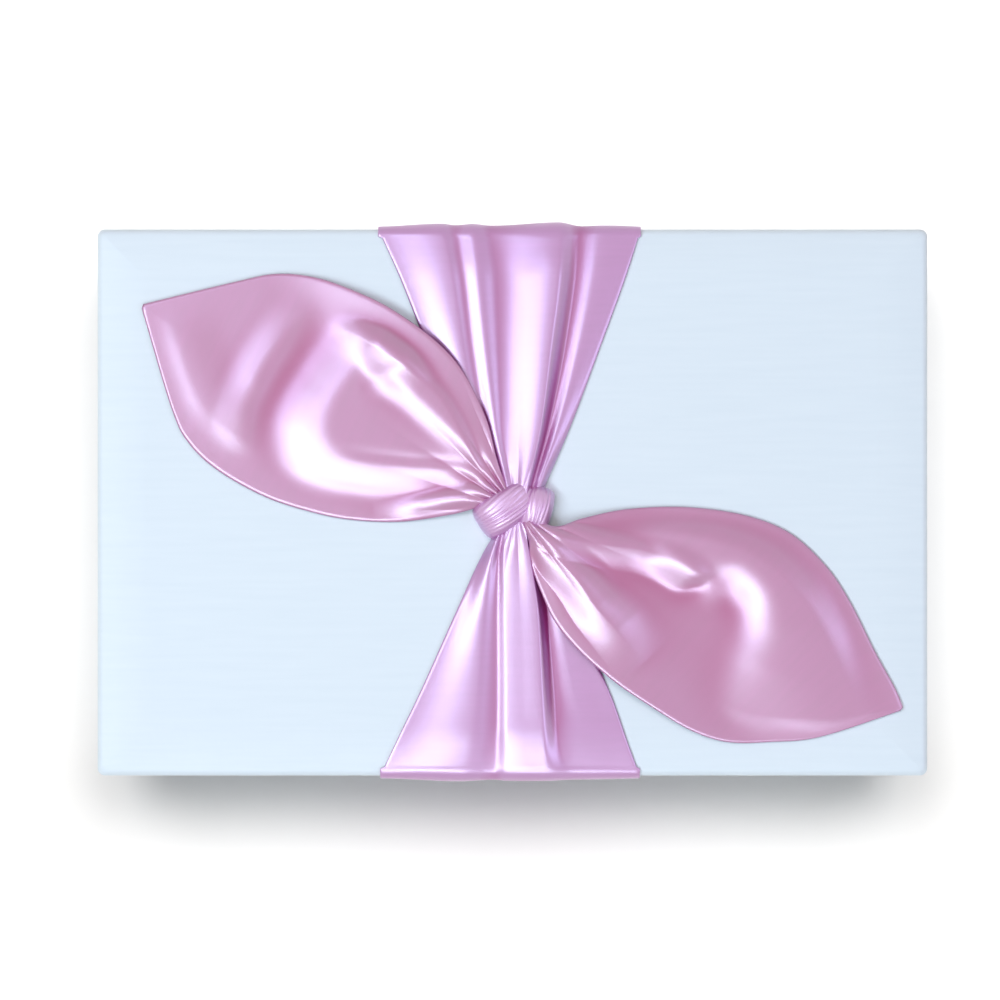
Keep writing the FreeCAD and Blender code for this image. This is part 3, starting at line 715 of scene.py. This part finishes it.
def right_folds(x, y):
    """Folds of the right tail: a step that rolls out of the knot and turns down, ridges and a crease."""
    step = fold(x, y, ((4, -6), (17.1, -13.2), (36.2, -14.2), (48, -14.4), (58, -14.5), (68, -17),
                       (75, -25), (77, -36), (74, -48), (68, -60), (62, -74)),
                (1.6, 1.8, 2.2, 2.8, 3.2, 3.3, 3.3, 3.1, 2.3, 1.0, 0), (46,),
                (6, 7, 9, 16, 19, 16, 15, 16, 17, 17, 17), (bell, bell))
    blob = fold(x, y, ((39, -12.5), (46, -15), (52.5, -19.5), (58, -26)), (0, 1.0, 1.5, 0),
                (4,), (10,), (bell, ramp))
    roll_out = fold(x, y, ((8, -7.5), (14, -7.6), (20.3, -6.9), (32, -6.2)), (0, 1.6, 1.2, 0), (5,), (5,))
    crease = fold(x, y, ((41, -29.6), (52.5, -24.8), (66, -17.8)), (0, -1.5, 0), (3,), (5,), (nip, nip))
    return step + blob + roll_out + crease


right_points = leaf_points(
    near=((2, -4), (4.6, -10.8), (5, -17), (7.9, -25.2), (12.3, -34.5), (19.5, -43.1), (29.6, -51.8),
          (39.7, -58.7), (51.2, -65.6), (61.9, -69.1), (74.3, -69.1), (88.7, -67.6), (111.8, -60.1)),
    far=((5, -3), (12, -6.8), (20.3, -4.5), (33, -1.9), (49.8, -1.3), (66.8, -3.6), (80, -8.8),
         (90.4, -18.3), (97.4, -28.7), (104.6, -43.1), (110.3, -53.5), (112.6, -58.9)),
    folds=right_folds, drape=right_drape)
for side, (points, lift) in (("left", left_points), ("right", right_points)):
    cloth = even_cloth(points, length=0.115, width=0.076)
    tail = surface("%s_tail" % side, points, cloth, tail_satin)
    thicken(mark_crease_shade(tail, lift), CLOTH)
    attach(tail, "lid")
    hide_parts("sash_%s_tail" % side)

# Knot: the sash's turns, drawn tight over both tails.  Each turn is the whole width bunched into
# narrow pleats that run over the knot from lower left to upper right.
WIDE_SLANT = np.radians(33)
NARROW_SLANT = np.radians(72)
# The knot's colours are a painted sheen: the band satin painted paler, for the light that its fine pleats
# catch.
KNOT_SHEEN_PINK = linear(204, 138, 190)
KNOT_SHEEN_PINK_SHADE = linear(190, 116, 174)
BUNCHED_ROUGHNESS = 0.34
knot_sheen_satin = satin("pink_satin_knot_sheen", KNOT_SHEEN_PINK, KNOT_SHEEN_PINK_SHADE, BUNCHED_ROUGHNESS, "cloth", **GLOSS)


def turn_points(middle, slant, reach, half_width, crown, pleats, depth, rows=90, columns=110):
    """A bunched turn: a pleated profile carried over a half ellipse along the pleats' slant.

    The half width shrinks along the turn, the edges round down, and the pleats are the absolute value
    of a sine across it, which leaves them sharp in the valleys; the sine's phase leans along the turn.
    """
    over = np.linspace(-0.1, 1.1, rows)[:, None] * np.pi
    side = np.linspace(-1, 1, columns)[None]
    along = -np.cos(over) * reach
    wide = half_width[0] + (half_width[1] - half_width[0]) * (over / np.pi)
    lean = 0.12 * np.sin(over * 1.5 + side)
    phase = np.pi * pleats * (side + lean + 1) / 2 + 0.9 * np.sin(2.3 * side + over)
    pleat = np.abs(np.sin(phase)) ** 0.8 * (0.65 + 0.35 * np.sin(5 * side + 2 * over))
    round_edge = np.sqrt(np.clip(1 - np.abs(side) ** 3.2, 0, 1))
    swell = crown * (0.25 + 0.75 * round_edge) + depth * pleat * round_edge
    rise = np.sign(np.sin(over)) * np.abs(np.sin(over)) ** 0.7 * swell
    spread = along * (0.8 + 0.2 * round_edge)
    across = side * wide * (0.8 + 0.2 * np.sin(over))
    x = middle[0] * MM + spread * np.cos(slant) - across * np.sin(slant)
    y = middle[1] * MM + spread * np.sin(slant) + across * np.cos(slant)
    return np.stack([x, y, LID_HIGH.z + LIE + CLOTH + rise], axis=-1)[:, ::-1]


wide_grid = turn_points(middle=(-1.6, -1.6), slant=WIDE_SLANT, reach=9.6 * MM,
                        half_width=(6.6 * MM, 5.0 * MM), crown=7.3 * MM, pleats=9, depth=0.5 * MM)
narrow_grid = turn_points(middle=(7.0, -2.0), slant=NARROW_SLANT, reach=6.8 * MM,
                          half_width=(5.0 * MM, 4.2 * MM), crown=6.8 * MM, pleats=7, depth=0.45 * MM)
wide_cloth = even_cloth(wide_grid, length=0.035, width=0.07)
narrow_cloth = even_cloth(narrow_grid, length=0.028, width=0.06)
wide_turn = surface("wide_turn", wide_grid, wide_cloth, knot_sheen_satin)
narrow_turn = surface("narrow_turn", narrow_grid, narrow_cloth, knot_sheen_satin)
for piece, nodes in ((wide_turn, ("sash_knot_wide_turn", "sash_knot_core")),
                     (narrow_turn, ("sash_knot_narrow_turn",))):
    thicken(piece, CLOTH)
    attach(piece, "lid")
    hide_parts(*nodes)

# Floor, lights and camera: a white floor that keeps the box's shadow.  A bright lamp at the lower left, weak
# ones at the upper left and on the right, and a steep one at the back light the box; two suns light the
# floor alone, from the back and to either side, so that its shadow lies in front and spreads at both ends.
FLOOR_SIZE = 12
FLOOR_WHITE = (0.9, 0.9, 0.9, 1)
FLOOR_GLOW = 0.12
AMBIENT = 0.2
SUN_LEVEL = 0.4
SUN_ANGLE = np.radians(24)
SUN_TILT = np.radians(-17)
SUN_LEAN = np.radians(15)


def seen_directly(tree):
    """1 for what the camera sees by itself, in a reflection or through glass, and 0 otherwise."""
    ray = add_node(tree, "ShaderNodeLightPath").outputs
    either = add_node(tree, "ShaderNodeMath",
                      {0: ray["Is Camera Ray"], 1: ray["Is Glossy Ray"]}, operation="MAXIMUM")
    return add_node(tree, "ShaderNodeMath",
                    {0: either.outputs[0], 1: ray["Is Transmission Ray"]}, operation="MAXIMUM").outputs[0]


bpy.ops.mesh.primitive_plane_add(size=FLOOR_SIZE)
floor = bpy.context.object
floor.name = "floor"
floor_white, tree, shader = new_material("floor_white", 0.9, Specular_IOR_Level=0.0)
shader.inputs["Base Color"].default_value = FLOOR_WHITE
glow = add_node(tree, "ShaderNodeMath", {0: seen_directly(tree), 1: FLOOR_GLOW}, operation="MULTIPLY")
shader.inputs["Emission Color"].default_value = (1, 1, 1, 1)
tree.links.new(glow.outputs[0], shader.inputs["Emission Strength"])
floor.data.materials.append(floor_white)

world = bpy.data.worlds.new("studio")
bpy.context.scene.world = world
world.use_nodes = True
back_light = world.node_tree.nodes["Background"]
strength = add_node(world.node_tree, "ShaderNodeMapRange", {
    "Value": seen_directly(world.node_tree), "To Min": AMBIENT, "To Max": 1.0})
back_light.inputs["Color"].default_value = (1, 1, 1, 1)
world.node_tree.links.new(strength.outputs["Result"], back_light.inputs["Strength"])


def lamp(name, azimuth, elevation, distance, size, level, colour):
    """A soft rectangular lamp that faces the box; azimuth 0 is +X, and angles are in degrees.

    Level is the share of full brightness that it alone gives a level white surface at the lid.
    """
    a, e = np.radians(azimuth), np.radians(elevation)
    light = bpy.data.lights.new(name, "AREA")
    light.shape = "RECTANGLE"
    light.size, light.size_y = size
    light.energy = level * (np.pi * distance) ** 2 / np.sin(e)
    light.color = colour
    holder = bpy.data.objects.new(name, light)
    away = np.array([np.cos(a) * np.cos(e), np.sin(a) * np.cos(e), np.sin(e)])
    holder.location = away * distance + [0, 0, LID_HIGH.z]
    holder.rotation_euler = (np.pi / 2 - e, 0, a + np.pi / 2)
    bpy.context.scene.collection.objects.link(holder)
    return holder


key = lamp("key", azimuth=222, elevation=62, distance=1.6, size=(2.3, 0.3), level=0.62,
           colour=(0.74, 0.87, 0.95))
side_lamp = lamp("side", azimuth=152, elevation=62, distance=1.6, size=(0.9, 0.3), level=0.12,
                 colour=(0.68, 0.74, 1.0))
cool = lamp("cool", azimuth=350, elevation=44, distance=1.8, size=(1.2, 0.7), level=0.11,
            colour=(0.66, 0.7, 1.0))
top = lamp("top", azimuth=90, elevation=72, distance=2.0, size=(0.7, 0.7), level=0.2,
           colour=(1, 0.92, 0.84))
top.visible_glossy = False


def link_floor(light, state):
    """Has a lamp light the floor alone, or everything but the floor."""
    linked = bpy.data.collections.new(light.name + "_floor")
    linked.objects.link(floor)
    linked.collection_objects[0].light_linking.link_state = state
    light.light_linking.receiver_collection = linked


for light in (key, side_lamp, cool):
    link_floor(light, "EXCLUDE")
for name, way in (("floor_left", -1), ("floor_right", 1)):
    over_floor = bpy.data.objects.new(name, bpy.data.lights.new(name, "SUN"))
    over_floor.data.energy = SUN_LEVEL * np.pi
    over_floor.data.angle = SUN_ANGLE
    over_floor.rotation_euler = (SUN_TILT, way * SUN_LEAN, 0)
    bpy.context.scene.collection.objects.link(over_floor)
    link_floor(over_floor, "INCLUDE")

LENS = 135
FRAME_WIDTH = 288.46 * MM
PICTURE_CENTRE = (-3.6 * MM, 0.7 * MM)
camera = bpy.data.objects.new("camera", bpy.data.cameras.new("camera"))
camera.data.lens = LENS
camera.location = (*PICTURE_CENTRE, LID_HIGH.z + FRAME_WIDTH * LENS / camera.data.sensor_width)
bpy.context.scene.collection.objects.link(camera)
bpy.context.scene.camera = camera
bpy.context.scene.view_settings.view_transform = "Standard"
